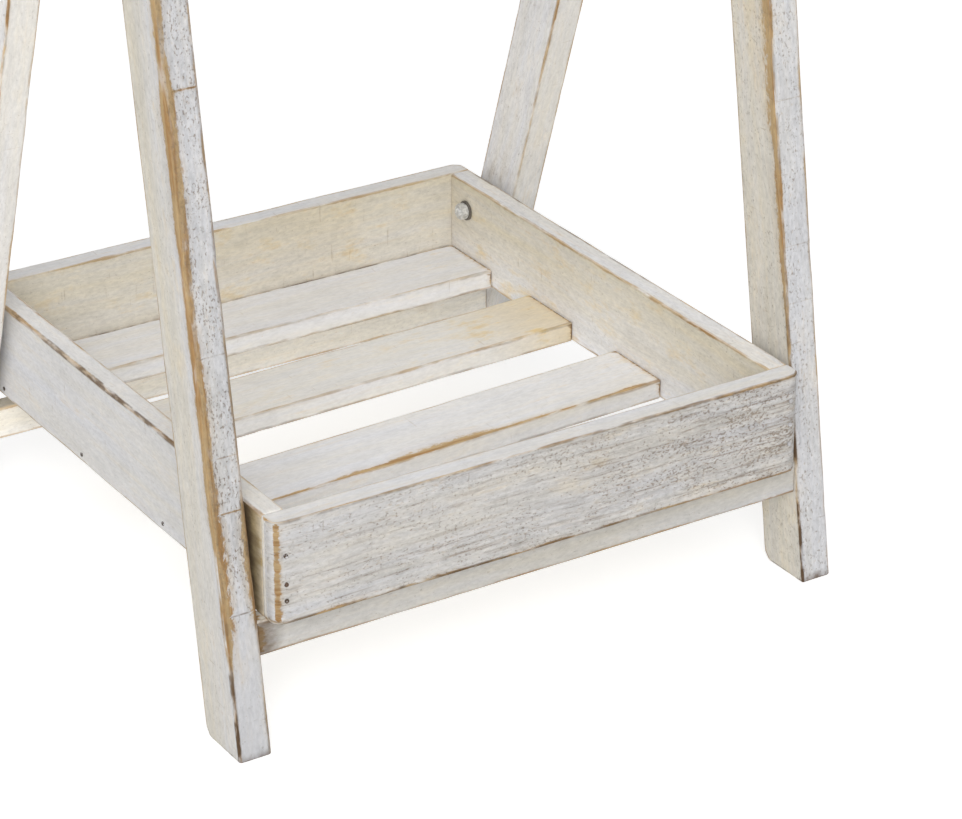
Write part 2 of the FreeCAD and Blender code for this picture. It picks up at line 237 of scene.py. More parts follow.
# Chance in the wear: seeds of the draws, lengths over which it changes and fades, and how far it goes
EASE_DRAW, KNOCK_DRAW, KNOCKED_DRAW, BAND_DRAW = 0, 1, 2, 5
PLANING_DRAW, WANDER_DRAW, TORN_DRAW = 60, 61, 62
EASE_REACH = 26 * MM
KNOCK_REACH = 9 * MM
KNOCKED_REACH = 41 * MM
BAND_REACH = 17 * MM
PLANING_REACH = (31 * MM, 11 * MM)
WANDER_REACH = (70 * MM, 25 * MM)
TORN_REACH = (34 * MM, 1.9 * MM)
EASE_LEAST, EASE_SPREAD = 0.7, 0.6
BAND_LEAST, BAND_SPREAD = 0.55, 0.9
KNOCK_RARITY, KNOCK_GROWTH = 0.38, 2.4
RIDGE_WANDER = 1.0 * MM
HOLLOW_LEAST, HOLLOW_SAWN, HOLLOW_TORN = 0.2, 0.4, 0.4
EDGE_FADE = 2.0 * MM
END_FADE = 3.0 * MM
GRAIN_SHIFT = 3.0

# What a bar's mesh stores at each point beside its grain, three values to an attribute. The pale value is
# painted light and shade, and the last of the marks is painted shade with dirt.
STORED = {
    "wear": ("arris", "band", "pale"),
    "finish": ("tone", "line", "hollow"),
    "marks": ("pits", "stain", "shade_and_grime"),
}


@dataclass
class Face:
    """Finish of a long face. Tone (0 cool, 1 warm) and brightness are a number, or a pair from one arris to
    the next. Brightness is painted light and shade: a face is made paler or darker for how the light falls on
    it.
    Pits, stain, painted shade with dirt, and saw ridges are a number, or (place, value) points along the bar.
    A cut across the face is (place, worn width, dirt). The face takes a share of the wear at the bar's ends."""

    tone: float | tuple = 0.0
    pale: float | tuple = 1.0
    pits: float | list = 0.35
    stain: float | list = 0.2
    shade_and_grime: float | list = 0.0
    ridges: float | list = 0.0
    cuts: tuple | list = ()
    end_wear: float = 1.0


@dataclass
class Arris:
    """Wear of an arris: its radius, the dirt on it (at a few joints painted shade with dirt), its share of
    knocks, and the widths worn bare on the faces before and after it. Where it has none, the radius is the
    handled one and the widths the bar's."""

    ease: float | list | None = None
    line: float | list = 0.0
    chips: float = 0.35
    before_width: float | list | None = None
    after_width: float | list | None = None


def stations(start, end, cuts):
    """Places of the sections along a bar, closer by its cuts, and how far each is drawn in at the ends."""
    ease = wood().end_ease
    lead, drawn = ease * (1 - np.cos(TURN)), ease * (1 - np.sin(TURN))
    count = max(3, round((end - start) / wood().step))
    middle = np.linspace(start + ease, end - ease, count)[1:-1]
    for cut in cuts:
        clear = np.abs(middle - cut) > CUT_ROOM * CUT_STEPS[-1]
        beside = cut + CUT_STEPS
        beside = beside[(beside > start + CUT_END_ROOM * ease) & (beside < end - CUT_END_ROOM * ease)]
        middle = np.sort(np.concatenate([middle[clear], beside]))
    cap = CAP_INSETS + ease
    places = np.concatenate([np.full(len(cap), start), start + lead, middle, (end - lead)[::-1],
                             np.full(len(cap), end)])
    inset = np.concatenate([cap, drawn, np.zeros(len(middle)), drawn[::-1], cap[::-1]])
    return places, inset


class Bar:
    """A worn bar: its sections, and what its finish needs to know at each point."""

    def __init__(self, node, axis, limits, points, seed):
        self.node, self.axis, self.limits, self.points, self.seed = node, axis, limits, points, seed
        self.start, self.end = (corner[axis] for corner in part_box(node))
        self.faces = [Face() for _ in FACES[axis]]
        self.arrises = [Arris() for _ in FACES[axis]]
        self.width = 0.5 * MM
        self.end_widths = (0.5 * MM, 0.5 * MM)
        # Dark lines at the two ends: dirt, with painted shade where an end meets the floor or a board
        self.end_dirt_and_shade_lines = (0.0, 0.0)

    def paint(self, **faces):
        """Gives long faces their finish, by their names."""
        for name, face in faces.items():
            self.faces[FACES[self.axis].index(name)] = face

    def wear(self, before, after, **values):
        """Sets the wear of the arris between a face and the next one round the section."""
        names = FACES[self.axis]
        number = names.index(after)
        if names[number - 1] != before:
            raise ValueError(f"{before} and {after} don't follow each other round {self.node}")
        self.arrises[number] = replace(self.arrises[number], **values)

    def draw(self, number, kind):
        """Seed of one draw for an arris or a face."""
        return self.seed * 100 + number * 10 + kind

    def radius(self, number, room):
        """Arris radius along the bar: handled all along, and knocked here and there."""
        arris = self.arrises[number]
        ease = along_bar(wood().ease if arris.ease is None else arris.ease, self.places)
        uneven = drift(self.draw(number, EASE_DRAW), self.places, EASE_REACH)
        handled = ease * (EASE_LEAST + EASE_SPREAD * uneven)
        knocks = (drift(self.draw(number, KNOCK_DRAW), self.places, KNOCK_REACH)
                  * drift(self.draw(number, KNOCKED_DRAW), self.places, KNOCKED_REACH))
        knocks = np.clip(knocks - KNOCK_RARITY, 0, 1)
        return np.minimum(handled + knocks * KNOCK_GROWTH * arris.chips * wood().chip, room)

    def lay_out(self):
        """Sets the sections along the bar, with the centre and radius of each arris in them."""
        cuts = [place for face in self.faces for place, _, _ in face.cuts]
        self.places, inset = stations(self.start, self.end, cuts)
        u0, u1, v0, v1 = self.limits(self.places)
        self.low_u, self.low_v = u0, v0
        self.inset = np.minimum(inset, CAP_SHARE * np.minimum(u1 - u0, v1 - v0))
        u0, u1, v0, v1 = u0 + self.inset, u1 - self.inset, v0 + self.inset, v1 - self.inset
        room = np.minimum(u1 - u0, v1 - v0) * EASE_SHARE
        a, b, c, d = (self.radius(number, room) for number in range(4))
        self.corners = ((u0 + a, v0 + a, a), (u1 - b, v0 + b, b), (u1 - c, v1 - c, c), (u0 + d, v1 - d, d))
        self.capped = self.inset > wood().end_ease * CAP_MARGIN
        self.end_gap = np.minimum(self.places - self.start, self.end - self.places)
        self.first_half = self.places < (self.start + self.end) / 2

    def on_arris(self, number, angle):
        """Point of an arris in each section, at an angle round the section."""
        u, v, radius = self.corners[number]
        return u + radius * np.cos(angle), v + radius * np.sin(angle)

    def worn_width(self, number, side):
        """Width worn bare beside an arris, on one of its two faces."""
        arris = self.arrises[number]
        width = arris.after_width if side == number else arris.before_width
        width = along_bar(self.width if width is None else width, self.places)
        uneven = drift(self.draw(number, BAND_DRAW + side), self.places, BAND_REACH)
        return width * (BAND_LEAST + BAND_SPREAD * uneven)

    def point(self, u, v, away, number, side, part, hollow):
        """Place and wear in each section of a point away from an arris, part of the way across a face."""
        face = self.faces[side]
        near_end = self.capped | (self.end_gap < away)
        away = np.where(self.capped, self.inset - wood().end_ease, np.minimum(away, self.end_gap))
        end_width, end_dirt_and_shade_line = (np.where(self.first_half, *pair) for pair in (self.end_widths, self.end_dirt_and_shade_lines))
        band = np.where(near_end, end_width * face.end_wear, self.worn_width(number, side))
        line = np.where(near_end, end_dirt_and_shade_line, along_bar(self.arrises[number].line, self.places))
        for place, cut_width, cut_line in face.cuts:
            gap = np.abs(self.places - place) * CUT_KEEN
            nearer = ~self.capped & (gap < away)
            away = np.where(nearer, gap, away)
            band = np.where(nearer, cut_width, band)
            line = np.where(nearer, cut_line, line)
        tone, pale = (np.interp(part, (0, 1), np.broadcast_to(pair, 2)) for pair in (face.tone, face.pale))
        pits, stain, shade_and_grime = (along_bar(value, self.places) for value in (face.pits, face.stain, face.shade_and_grime))
        shade_and_grime = np.where(self.capped & self.first_half, 0.0, shade_and_grime)
        found = {"u": u, "v": v, "arris": away, "band": band, "pale": pale, "tone": tone, "line": line,
                 "hollow": hollow, "pits": pits, "stain": stain, "shade_and_grime": shade_and_grime}
        return {key: np.broadcast_to(value, len(self.places)) for key, value in found.items()}

    def arris_points(self, number):
        """Points round an arris, the first half of them on the face before it."""
        start_angle = math.pi + number * math.pi / 2
        found = []
        for turn in TURN:
            side, part = ((number - 1) % 4, 1.0) if turn < TURN[2] else (number, 0.0)
            u, v = self.on_arris(number, start_angle + turn)
            found.append(self.point(u, v, 0.0, number, side, part, 0.0))
        return found

    def face_points(self, number):
        """Points across the face after an arris, crowded towards its two arrises."""
        ahead = (number + 1) % 4
        angle = math.pi + number * math.pi / 2 + TURN[-1]
        first_u, first_v = self.on_arris(number, angle)
        last_u, last_v = self.on_arris(ahead, angle)
        run = np.hypot(last_u - first_u, last_v - first_v)
        steps = np.arange(1, self.points[number] + 1) / (self.points[number] + 1)
        spread = steps - CROWDING * np.sin(2 * math.pi * steps) / (2 * math.pi)
        depths, hollows = self.dents(number, spread * run.max())
        inward_u, inward_v = INWARD[number]
        found = []
        for part, depth, hollow in zip(spread, depths.T, hollows.T):
            found.append(self.point(first_u + (last_u - first_u) * part + inward_u * depth,
                                    first_v + (last_v - first_v) * part + inward_v * depth,
                                    np.minimum(part, 1 - part) * run,
                                    number if part < 0.5 else ahead, number, part, hollow))
        return found

    def dents(self, number, across):
        """How far a face lies below its true plane, and its share (0 to 1) of hollows between saw ridges."""
        rows, columns = self.places[:, None], across[None, :]
        planing = wood().warp * field(self.draw(number, PLANING_DRAW), rows, columns, *PLANING_REACH)
        wander = field(self.draw(number, WANDER_DRAW), rows, columns, *WANDER_REACH) - 0.5
        wander = columns + RIDGE_WANDER * wander
        sawn = 0.5 - 0.5 * np.cos(2 * math.pi * wander / wood().ridge_pitch)
        torn = field(self.draw(number, TORN_DRAW), rows, wander, *TORN_REACH) ** 2
        rough = along_bar(self.faces[number].ridges, self.places)[:, None]
        hollows = rough * (HOLLOW_LEAST + HOLLOW_SAWN * sawn + HOLLOW_TORN * torn)
        edge = np.minimum(columns - columns.min(), columns.max() - columns)
        fade = np.clip(edge / EDGE_FADE, 0, 1)
        ends = np.clip(np.minimum(rows - self.start, self.end - rows) / END_FADE, 0, 1)
        kept = np.where(self.capped[:, None], 0, fade * ends)
        return (planing + hollows * wood().ridge) * kept, hollows * kept

    def mesh(self, name):
        """Closed mesh of the bar, with its wear stored at each point."""
        self.lay_out()
        found = []
        for number in range(4):
            found += self.arris_points(number) + self.face_points(number)
        table = {key: np.array([point[key] for point in found]).T for key in found[0]}
        rows, ring = table["u"].shape
        table["s"] = np.repeat(self.places[:, None], ring, 1)
        order = {X: ("s", "u", "v"), Y: ("v", "s", "u"), Z: ("u", "v", "s")}[self.axis]
        points = np.stack([table[key] for key in order], -1).reshape(-1, 3)
        i, j = np.meshgrid(np.arange(rows - 1), np.arange(ring), indexing="ij")
        ahead = (j + 1) % ring
        quads = np.stack([i * ring + j, i * ring + ahead, (i + 1) * ring + ahead, (i + 1) * ring + j], -1)
        faces = quads.reshape(-1, 4).tolist()
        faces.append(list(range(ring - 1, -1, -1)))
        faces.append(list(range((rows - 1) * ring, rows * ring)))
        mesh = bpy.data.meshes.new(name)
        mesh.from_pydata(points.tolist(), [], faces)
        shift = np.random.default_rng(self.seed).random(3) * GRAIN_SHIFT
        depth_u, depth_v = table["u"] - self.low_u[:, None], table["v"] - self.low_v[:, None]
        stored = {label: [table[key] for key in keys] for label, keys in STORED.items()}
        stored["grain"] = np.stack([table["s"], depth_u, depth_v]) + shift[:, None, None]
        for label, values in stored.items():
            attribute = mesh.attributes.new(label, "FLOAT_VECTOR", "POINT")
            attribute.data.foreach_set("vector", np.stack(values, -1).astype(np.float32).ravel())
        smooth = np.ones(len(faces), bool)
        smooth[-2:] = False
        mesh.polygons.foreach_set("use_smooth", smooth)
        mesh.validate()
        mesh.update()
        return mesh


def place_bar(bar, body, slot):
    """Shows a worn bar in place of its plain solid."""
    node = bar.node
    piece = bpy.data.objects.new("worn_" + node, bar.mesh("worn_" + node))
    bpy.context.scene.collection.objects.link(piece)
    piece.data.materials.append(washed_wood(slot))
    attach(piece, body)
    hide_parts(node)


def rounded_in(distance, radius):
    """How far a rounded corner draws a face in at a distance from its end."""
    inside = np.clip(1 - distance / radius, 0, 1)
    return radius * (1 - np.sqrt(1 - inside ** 2))


def leg_bar(node, slope, front_y, level_width, seed, mitred):
    """Leaning leg, taken as level sections; a rear leg is mitred against the front leg."""
    low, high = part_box(node)

    def limits(z):
        front = front_y + slope * z
        back = front + level_width
        heel, top = rounded_in(z - low.z, wood().heel), rounded_in(high.z - z, wood().leg_top)
        if mitred:
            bearing = front_foot + front_level_width + front_slope * z + wood().stop / math.cos(front_lean)
            front = np.maximum(front + heel, bearing)
            back = back - top
        else:
            front, back = front + top, back - heel
        return np.full(len(z), low.x), np.full(len(z), high.x), front, back

    return Bar(node, Z, limits, LEG_POINTS, seed)


def straight_bar(node, axis, points, seed):
    """Bar between its solid's plane faces."""
    low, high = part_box(node)
    u, v = (axis + 1) % 3, (axis + 2) % 3

    def limits(places):
        return [np.full(len(places), level) for level in (low[u], high[u], low[v], high[v])]

    return Bar(node, axis, limits, points, seed)


def slat_bar(node, seed):
    """Slat between its solid's faces, which may run askew."""
    low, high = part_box(node)
    corners = [vertex.co for vertex in frame["nodes"][node].data.vertices]
    ends = [[corner.y for corner in corners if abs(corner.x - x) < wood().ease] for x in (low.x, high.x)]

    def limits(x):
        part = (x - low.x) / (high.x - low.x)
        front, back = (edge(ends[0]) + part * (edge(ends[1]) - edge(ends[0])) for edge in (min, max))
        return front, back, np.full(len(x), low.z), np.full(len(x), high.z)

    return Bar(node, X, limits, SLAT_POINTS, seed)


def end_board(node, seed, front):
    """Front or back board of a tray, with rounded outer corners."""
    low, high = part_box(node)

    def limits(x):
        drawn = rounded_in(np.minimum(x - low.x, high.x - x), wood().board_corner)
        return (low.y + drawn if front else np.full(len(x), low.y),
                np.full(len(x), high.y) if front else high.y - drawn,
                np.full(len(x), low.z), np.full(len(x), high.z))

    return Bar(node, X, limits, FRONT_BOARD_POINTS if front else BACK_BOARD_POINTS, seed)


# Shader nodes and groups

# Noise: cells per metre along the grain and in the two ways across it, then detail and roughness
PATTERNS = {
    "zones": ((5, 120, 120), 2.0, 0.5),
    "streaks": ((13, 480, 480), 4.0, 0.6),
    "fibres": ((260, 700, 700), 4.0, 0.65),
    "torn": ((24, 640, 640), 5.0, 0.68),
    "scratches": ((620, 60, 60), 3.0, 0.6),
    "patches": ((38, 85, 85), 5.0, 0.65),
    "ragged": ((190, 480, 480), 5.0, 0.75),
    "rubbed": ((60, 200, 200), 3.0, 0.55),
    "line": ((75, 240, 240), 3.0, 0.55),
    "gathered": ((40, 110, 110), 3.0, 0.6),
    "pits": ((560, 900, 900), 2.0, 0.6),
    "flecks": ((230, 700, 700), 2.0, 0.6),
    "cloudy": ((420, 420, 420), 5.0, 0.6),
    "bloom": ((190, 190, 190), 4.0, 0.6),
    "smeared": ((650, 650, 650), 2.0, 0.55),
    "mottle": ((3, 3, 3), 3.0, 0.55),
}

# Where in its noise a mark begins to show, and where it is full
SPANS = {
    "torn": (0.49, 0.66),
    "scratches": (0.66, 0.76),
    "ragged": (0.30, 0.70),
    "rubbed": (0.30, 0.56),
    "line": (0.40, 0.62),
    "gathered": (0.30, 0.66),
    "bleed": (0.52, 0.72),
    "late_wood": (0.42, 0.64),
    "thin": (0.52, 0.74),
    "patchy": (0.54, 0.74),
    "shade_and_grime": (0.8, 1.3),
    "cloudy": (0.35, 0.68),
    "bloom": (0.52, 0.70),
    "turned": (0.35, 0.65),
    "smeared": (0.59, 0.66),
    "mottle": (0.3, 0.7),
}

SWAY_SCALE, SWAY = 9.0, (0.0, 0.010, 0.010)
RAGGED_LEAST, RAGGED_SPREAD = 0.2, 1.4
BARE_CORE = 0.45
BAND_SHOWS = (0.0, 0.9 * MM)
BAND_WHOLE = (0.8 * MM, 2.4 * MM)
STAIN_REACH = 2.4
LINE_FADE = (1.3 * MM, 0.2 * MM)
GATHERED_LEAST, GATHERED_SPREAD = 0.4, 0.6
SPECKS = {"Pits": (0.68, 0.14), "Flecks": (0.70, 0.12)}
SPECK_EDGE = 0.14


def add(tree, kind, feeds=None, **settings):
    """New node whose inputs are fed from values or from other nodes' sockets."""
    node = tree.nodes.new("ShaderNode" + kind)
    for key, value in settings.items():
        setattr(node, key, value)
    for key, value in (feeds or {}).items():
        socket = node.inputs[key]
        if isinstance(value, bpy.types.NodeSocket):
            tree.links.new(value, socket)
        else:
            socket.default_value = value
    return node


def maths(tree, operation, *values, clamp=False):
    return add(tree, "Math", dict(enumerate(values)), operation=operation, use_clamp=clamp).outputs[0]


def times(tree, first, second, clamp=False):
    return maths(tree, "MULTIPLY", first, second, clamp=clamp)


def weighed(tree, total, *parts):
    """Total plus each value times its weight."""
    for value, weight in parts:
        total = maths(tree, "MULTIPLY_ADD", value, weight, total)
    return total


def between(tree, value, low, high, smooth=True):
    """0 at low and 1 at high."""
    node = add(tree, "MapRange", {"Value": value, "From Min": low, "From Max": high},
               interpolation_type="SMOOTHSTEP" if smooth else "LINEAR")
    return node.outputs["Result"]


def blend_colours(tree, factor, first, second, kind="MIX"):
    node = add(tree, "Mix", {0: factor, 6: first, 7: second}, data_type="RGBA", blend_type=kind)
    return node.outputs[2]


def noise(tree, vector, name):
    stretch, detail, roughness = PATTERNS[name]
    scaled = add(tree, "VectorMath", {0: vector, 1: stretch}, operation="MULTIPLY").outputs[0]
    feeds = {"Vector": scaled, "Scale": 1.0, "Detail": detail, "Roughness": roughness}
    return add(tree, "TexNoise", feeds).outputs["Fac"]


def noise_mask(tree, vector, name):
    """0 to 1 over the span of a noise in which its mark shows."""
    return between(tree, noise(tree, vector, name), *SPANS[name])


def shader_group(name, inputs, outputs):
    """New group with its input and output sockets."""
    tree = bpy.data.node_groups.new(name, "ShaderNodeTree")
    for label, kind in inputs.items():
        tree.interface.new_socket(label, in_out="INPUT", socket_type="NodeSocket" + kind)
    for label in outputs:
        tree.interface.new_socket(label, in_out="OUTPUT", socket_type="NodeSocketFloat")
    return tree, tree.nodes.new("NodeGroupInput").outputs, tree.nodes.new("NodeGroupOutput").inputs


def use_group(tree, name, feeds):
    return add(tree, "Group", feeds, node_tree=bpy.data.node_groups[name]).outputs


def make_timber_grain():
    """Zones and lines along the grain, fine fibres, torn dashes, scratches across it, and uneven patches."""
    tree, inputs, outputs = shader_group(
        "Timber Grain", {"Grain": "Vector"}, ("Zones", "Streaks", "Fibres", "Torn", "Scratches", "Patches"))
    grain = inputs["Grain"]
    sway = add(tree, "TexNoise", {"Vector": grain, "Scale": SWAY_SCALE, "Detail": 2.0}).outputs["Color"]
    bend = add(tree, "VectorMath", {0: sway, 1: SWAY}, operation="MULTIPLY").outputs[0]
    bent = add(tree, "VectorMath", {0: grain, 1: bend}, operation="ADD").outputs[0]
    for label in ("Zones", "Streaks", "Fibres"):
        tree.links.new(noise(tree, bent, label.lower()), outputs[label])
    tree.links.new(noise_mask(tree, bent, "torn"), outputs["Torn"])
    tree.links.new(noise_mask(tree, grain, "scratches"), outputs["Scratches"])
    tree.links.new(noise(tree, grain, "patches"), outputs["Patches"])


def make_worn_arris():
    """Bare: wash rubbed off beside an arris. Stain: tint that fades out from it. Line: dirt on it, and at a
    few joints painted shade with the dirt.
    """
    tree, inputs, outputs = shader_group(
        "Worn Arris", {"Grain": "Vector", "Distance": "Float", "Band": "Float", "Dirt": "Float"},
        ("Bare", "Stain", "Line"))
    grain, away, band = inputs["Grain"], inputs["Distance"], inputs["Band"]
    ragged = between(tree, noise(tree, grain, "ragged"), *SPANS["ragged"], smooth=False)
    width = times(tree, band, weighed(tree, RAGGED_LEAST, (ragged, RAGGED_SPREAD)))
    bare = between(tree, away, width, times(tree, width, BARE_CORE))
    rubbed = maths(tree, "MAXIMUM", noise_mask(tree, grain, "rubbed"), between(tree, band, *BAND_WHOLE))
    shown = times(tree, between(tree, band, *BAND_SHOWS), rubbed)
    stain = between(tree, away, times(tree, band, STAIN_REACH), 0.0, smooth=False)
    line = times(tree, between(tree, away, *LINE_FADE), noise_mask(tree, grain, "line"))
    tree.links.new(times(tree, bare, shown), outputs["Bare"])
    tree.links.new(times(tree, stain, shown), outputs["Stain"])
    tree.links.new(times(tree, line, inputs["Dirt"], clamp=True), outputs["Line"])


def make_pitting():
    """Pits: small dirty pits gathered in patches. Flecks: bits of wood that show through the wash."""
    tree, inputs, outputs = shader_group("Pitting", {"Grain": "Vector", "Amount": "Float"}, tuple(SPECKS))
    patch = noise_mask(tree, inputs["Grain"], "gathered")
    gathered = times(tree, weighed(tree, GATHERED_LEAST, (patch, GATHERED_SPREAD)), inputs["Amount"])
    for label, (rare, rise) in SPECKS.items():
        level = weighed(tree, rare, (gathered, -rise))
        specks = noise(tree, inputs["Grain"], label.lower())
        tree.links.new(between(tree, specks, level, maths(tree, "ADD", level, SPECK_EDGE)), outputs[label])


def make_dull_plate():
    """Tone: cloudy plating. Bloom: patches of rust."""
    tree, inputs, outputs = shader_group("Dull Plate", {"Place": "Vector"}, ("Tone", "Bloom"))
    tree.links.new(noise(tree, inputs["Place"], "cloudy"), outputs["Tone"])
    tree.links.new(noise_mask(tree, inputs["Place"], "bloom"), outputs["Bloom"])


# Materials

WASHES = {
    "leg_wood": {"thin": 0.30, "depth": 0.35 * MM, "rough": 0.84},
    "crossbar_wood": {"thin": 0.35, "depth": 0.35 * MM, "rough": 0.84},
    "tray_wood": {"thin": 0.42, "depth": 0.40 * MM, "rough": 0.88},
    "slat_wood": {"thin": 0.34, "depth": 0.30 * MM, "rough": 0.82},
}
STEELS = {
    "nail_steel": {"plate": "nail", "metal": 0.5, "rough": 0.5, "rusted": 0.6},
    "pivot_zinc": {"plate": "zinc", "metal": 0.2, "rough": 0.40, "rusted": 0.15},
    "washer_zinc": {"plate": "washer", "metal": 0.5, "rough": 0.45, "rusted": 0.3},
    "hinge_plate": {"plate": "hinge", "metal": 0.9, "rough": 0.36, "rusted": 0.6},
}

# How strongly each mark tells in the wash
PITTED_BY_STAIN, PITTED_BY_HOLLOWS = 0.5, 0.5
MIDDLE_ZONE = 0.5
BLEED, SOAKED_FROM = 0.7, 0.8
THIN_STREAKS, HALO, FLECKS, SCRATCHED = 0.35, 0.7, 0.3, 0.25
TORN_LEAST, TORN_SPREAD = 0.22, 0.85
PIT_LEAST, PIT_SPREAD, PIT_ON_BARE = 0.15, 0.45, -0.6
# Strength of the painted shade with dirt
SHADE_AND_GRIME_STRENGTH = 0.85
SHADE_MIDDLE, SHADE_LEAST, SHADE_SPREAD = 0.75, 0.4, 0.6
SHADING = {"Fibres": 0.70, "Patches": 0.50, "Streaks": 0.30, "Scratches": -0.16}
BARE_GLOSS, FIBRE_ROUGH = -0.12, 0.1
FIBRE_RELIEF, MARK_RELIEF, TORN_RELIEF, BARE_RELIEF = 0.8, -1.0, -0.6, -0.5
WASH_BUMP, WASH_SPECULAR = 0.5, 0.25

# The same for steel, dowels and nails
DARK_PLATE, RUST_DULLS, PLATE_ROUGH = 0.6, -0.7, 0.3
PLATE_BUMP, PLATE_DEPTH = 0.3, 0.1 * MM
DOWEL_ROUGH, DOWEL_FIBRES = 0.6, 0.3
SMEARED, PAINTED_RIGHT, PAINT_EDGE = 0.85, 0.6, 10 * MM


def linear(value):
    return (*Color(value).from_srgb_to_scene_linear(), 1.0)


def new_material(name):
    material = bpy.data.materials.new(name)
    material.use_nodes = True
    shader = material.node_tree.nodes["Principled BSDF"]
    return material, material.node_tree, shader


def stored_marks(tree):
    """Sockets of what a bar's mesh stores at each point."""
    found = {"grain": add(tree, "Attribute", attribute_name="grain").outputs["Vector"]}
    for label, keys in STORED.items():
        vector = add(tree, "Attribute", attribute_name=label).outputs["Vector"]
        found.update(zip(keys, add(tree, "SeparateXYZ", {0: vector}).outputs))
    return found


def coat_colour(tree, tint, at, timber, arris, flecks, torn, thinness):
    """Wash from cool to warm, stained by the wood, thin in places, torn and scratched."""
    warmth = maths(tree, "ADD", at["tone"], maths(tree, "SUBTRACT", timber["Zones"], MIDDLE_ZONE))
    coat = blend_colours(tree, warmth, tint["cool_wash"], tint["warm_wash"])
    bleed = times(tree, between(tree, timber["Patches"], *SPANS["bleed"]), at["stain"])
    soaked = maths(tree, "MAXIMUM", maths(tree, "SUBTRACT", at["stain"], SOAKED_FROM), 0.0)
    coat = blend_colours(tree, weighed(tree, soaked, (bleed, BLEED)), coat, tint["stain"])
    thin = times(tree, between(tree, timber["Streaks"], *SPANS["thin"]), thinness)
    patchy = times(tree, between(tree, timber["Patches"], *SPANS["patchy"]), thin)
    halo = times(tree, arris["Stain"], timber["Zones"])
    see_through = weighed(tree, patchy, (thin, THIN_STREAKS), (halo, HALO), (flecks, FLECKS))
    coat = blend_colours(tree, see_through, coat, tint["wood"])
    coat = blend_colours(tree, torn, coat, tint["pit"])
    return blend_colours(tree, times(tree, timber["Scratches"], SCRATCHED), coat, tint["wood"])


def worn_colour(tree, tint, at, timber, arris, pits, coat):
    """The coat with bare wood along the arrises, pits, painted shade with dirt, uneven shade, and each face's
    brightness as painted light and shade.
    """
    late = between(tree, timber["Streaks"], *SPANS["late_wood"])
    bare = blend_colours(tree, late, tint["wood"], tint["dark_wood"])
    body = blend_colours(tree, arris["Bare"], coat, bare)
    dirty = times(tree, weighed(tree, PIT_LEAST, (at["pits"], PIT_SPREAD)),
                  weighed(tree, 1.0, (arris["Bare"], PIT_ON_BARE)), clamp=True)
    body = blend_colours(tree, times(tree, pits, dirty), body, tint["pit"])
    # Painted shade in gaps, by joints and at the feet, with some dirt, laid in the line colour
    shade_and_grime = between(tree, maths(tree, "ADD", timber["Patches"], at["shade_and_grime"]), *SPANS["shade_and_grime"])
    dirt = maths(tree, "MAXIMUM", arris["Line"], times(tree, shade_and_grime, SHADE_AND_GRIME_STRENGTH))
    body = blend_colours(tree, dirt, body, tint["line"])
    uneven = weighed(tree, -SHADE_MIDDLE, *((timber[label], weight) for label, weight in SHADING.items()))
    shade = weighed(tree, 1.0, (uneven, weighed(tree, SHADE_LEAST, (at["pits"], SHADE_SPREAD))))
    # Each face's pale brightness multiplies in here: painted light and shade
    return blend_colours(tree, 1.0, body, times(tree, shade, at["pale"]), "MULTIPLY")


def washed_wood(slot):
    """Whitewash over softwood, worn off along the arrises."""
    name = "washed_" + slot
    if name in bpy.data.materials:
        return bpy.data.materials[name]
    wash = WASHES[slot]
    material, tree, shader = new_material(name)
    tint = {key: linear(getattr(finishes(), key))
            for key in ("cool_wash", "warm_wash", "wood", "dark_wood", "stain", "line", "pit")}
    at = stored_marks(tree)
    timber = use_group(tree, "Timber Grain", {"Grain": at["grain"]})
    arris = use_group(tree, "Worn Arris", {"Grain": at["grain"], "Distance": at["arris"], "Band": at["band"],
                                           "Dirt": at["line"]})
    amount = weighed(tree, at["pits"], (arris["Stain"], PITTED_BY_STAIN), (at["hollow"], PITTED_BY_HOLLOWS))
    specks = use_group(tree, "Pitting", {"Grain": at["grain"], "Amount": amount})
    # Saw hollows take the pit colour: painted shade in the hollows, more where the grain is torn
    torn = times(tree, at["hollow"], weighed(tree, TORN_LEAST, (timber["Torn"], TORN_SPREAD)), clamp=True)
    coat = coat_colour(tree, tint, at, timber, arris, specks["Flecks"], torn, wash["thin"])
    body = worn_colour(tree, tint, at, timber, arris, specks["Pits"], coat)
    tree.links.new(body, shader.inputs["Base Color"])
    rough = weighed(tree, wash["rough"], (arris["Bare"], BARE_GLOSS), (timber["Fibres"], FIBRE_ROUGH))
    tree.links.new(rough, shader.inputs["Roughness"])
    relief = weighed(tree, 0.0, (timber["Fibres"], FIBRE_RELIEF), (timber["Scratches"], MARK_RELIEF),
                     (specks["Pits"], MARK_RELIEF), (torn, TORN_RELIEF), (arris["Bare"], BARE_RELIEF))
    bump = add(tree, "Bump", {"Strength": WASH_BUMP, "Distance": wash["depth"], "Height": relief})
    tree.links.new(bump.outputs["Normal"], shader.inputs["Normal"])
    shader.inputs["Specular IOR Level"].default_value = WASH_SPECULAR
    return material


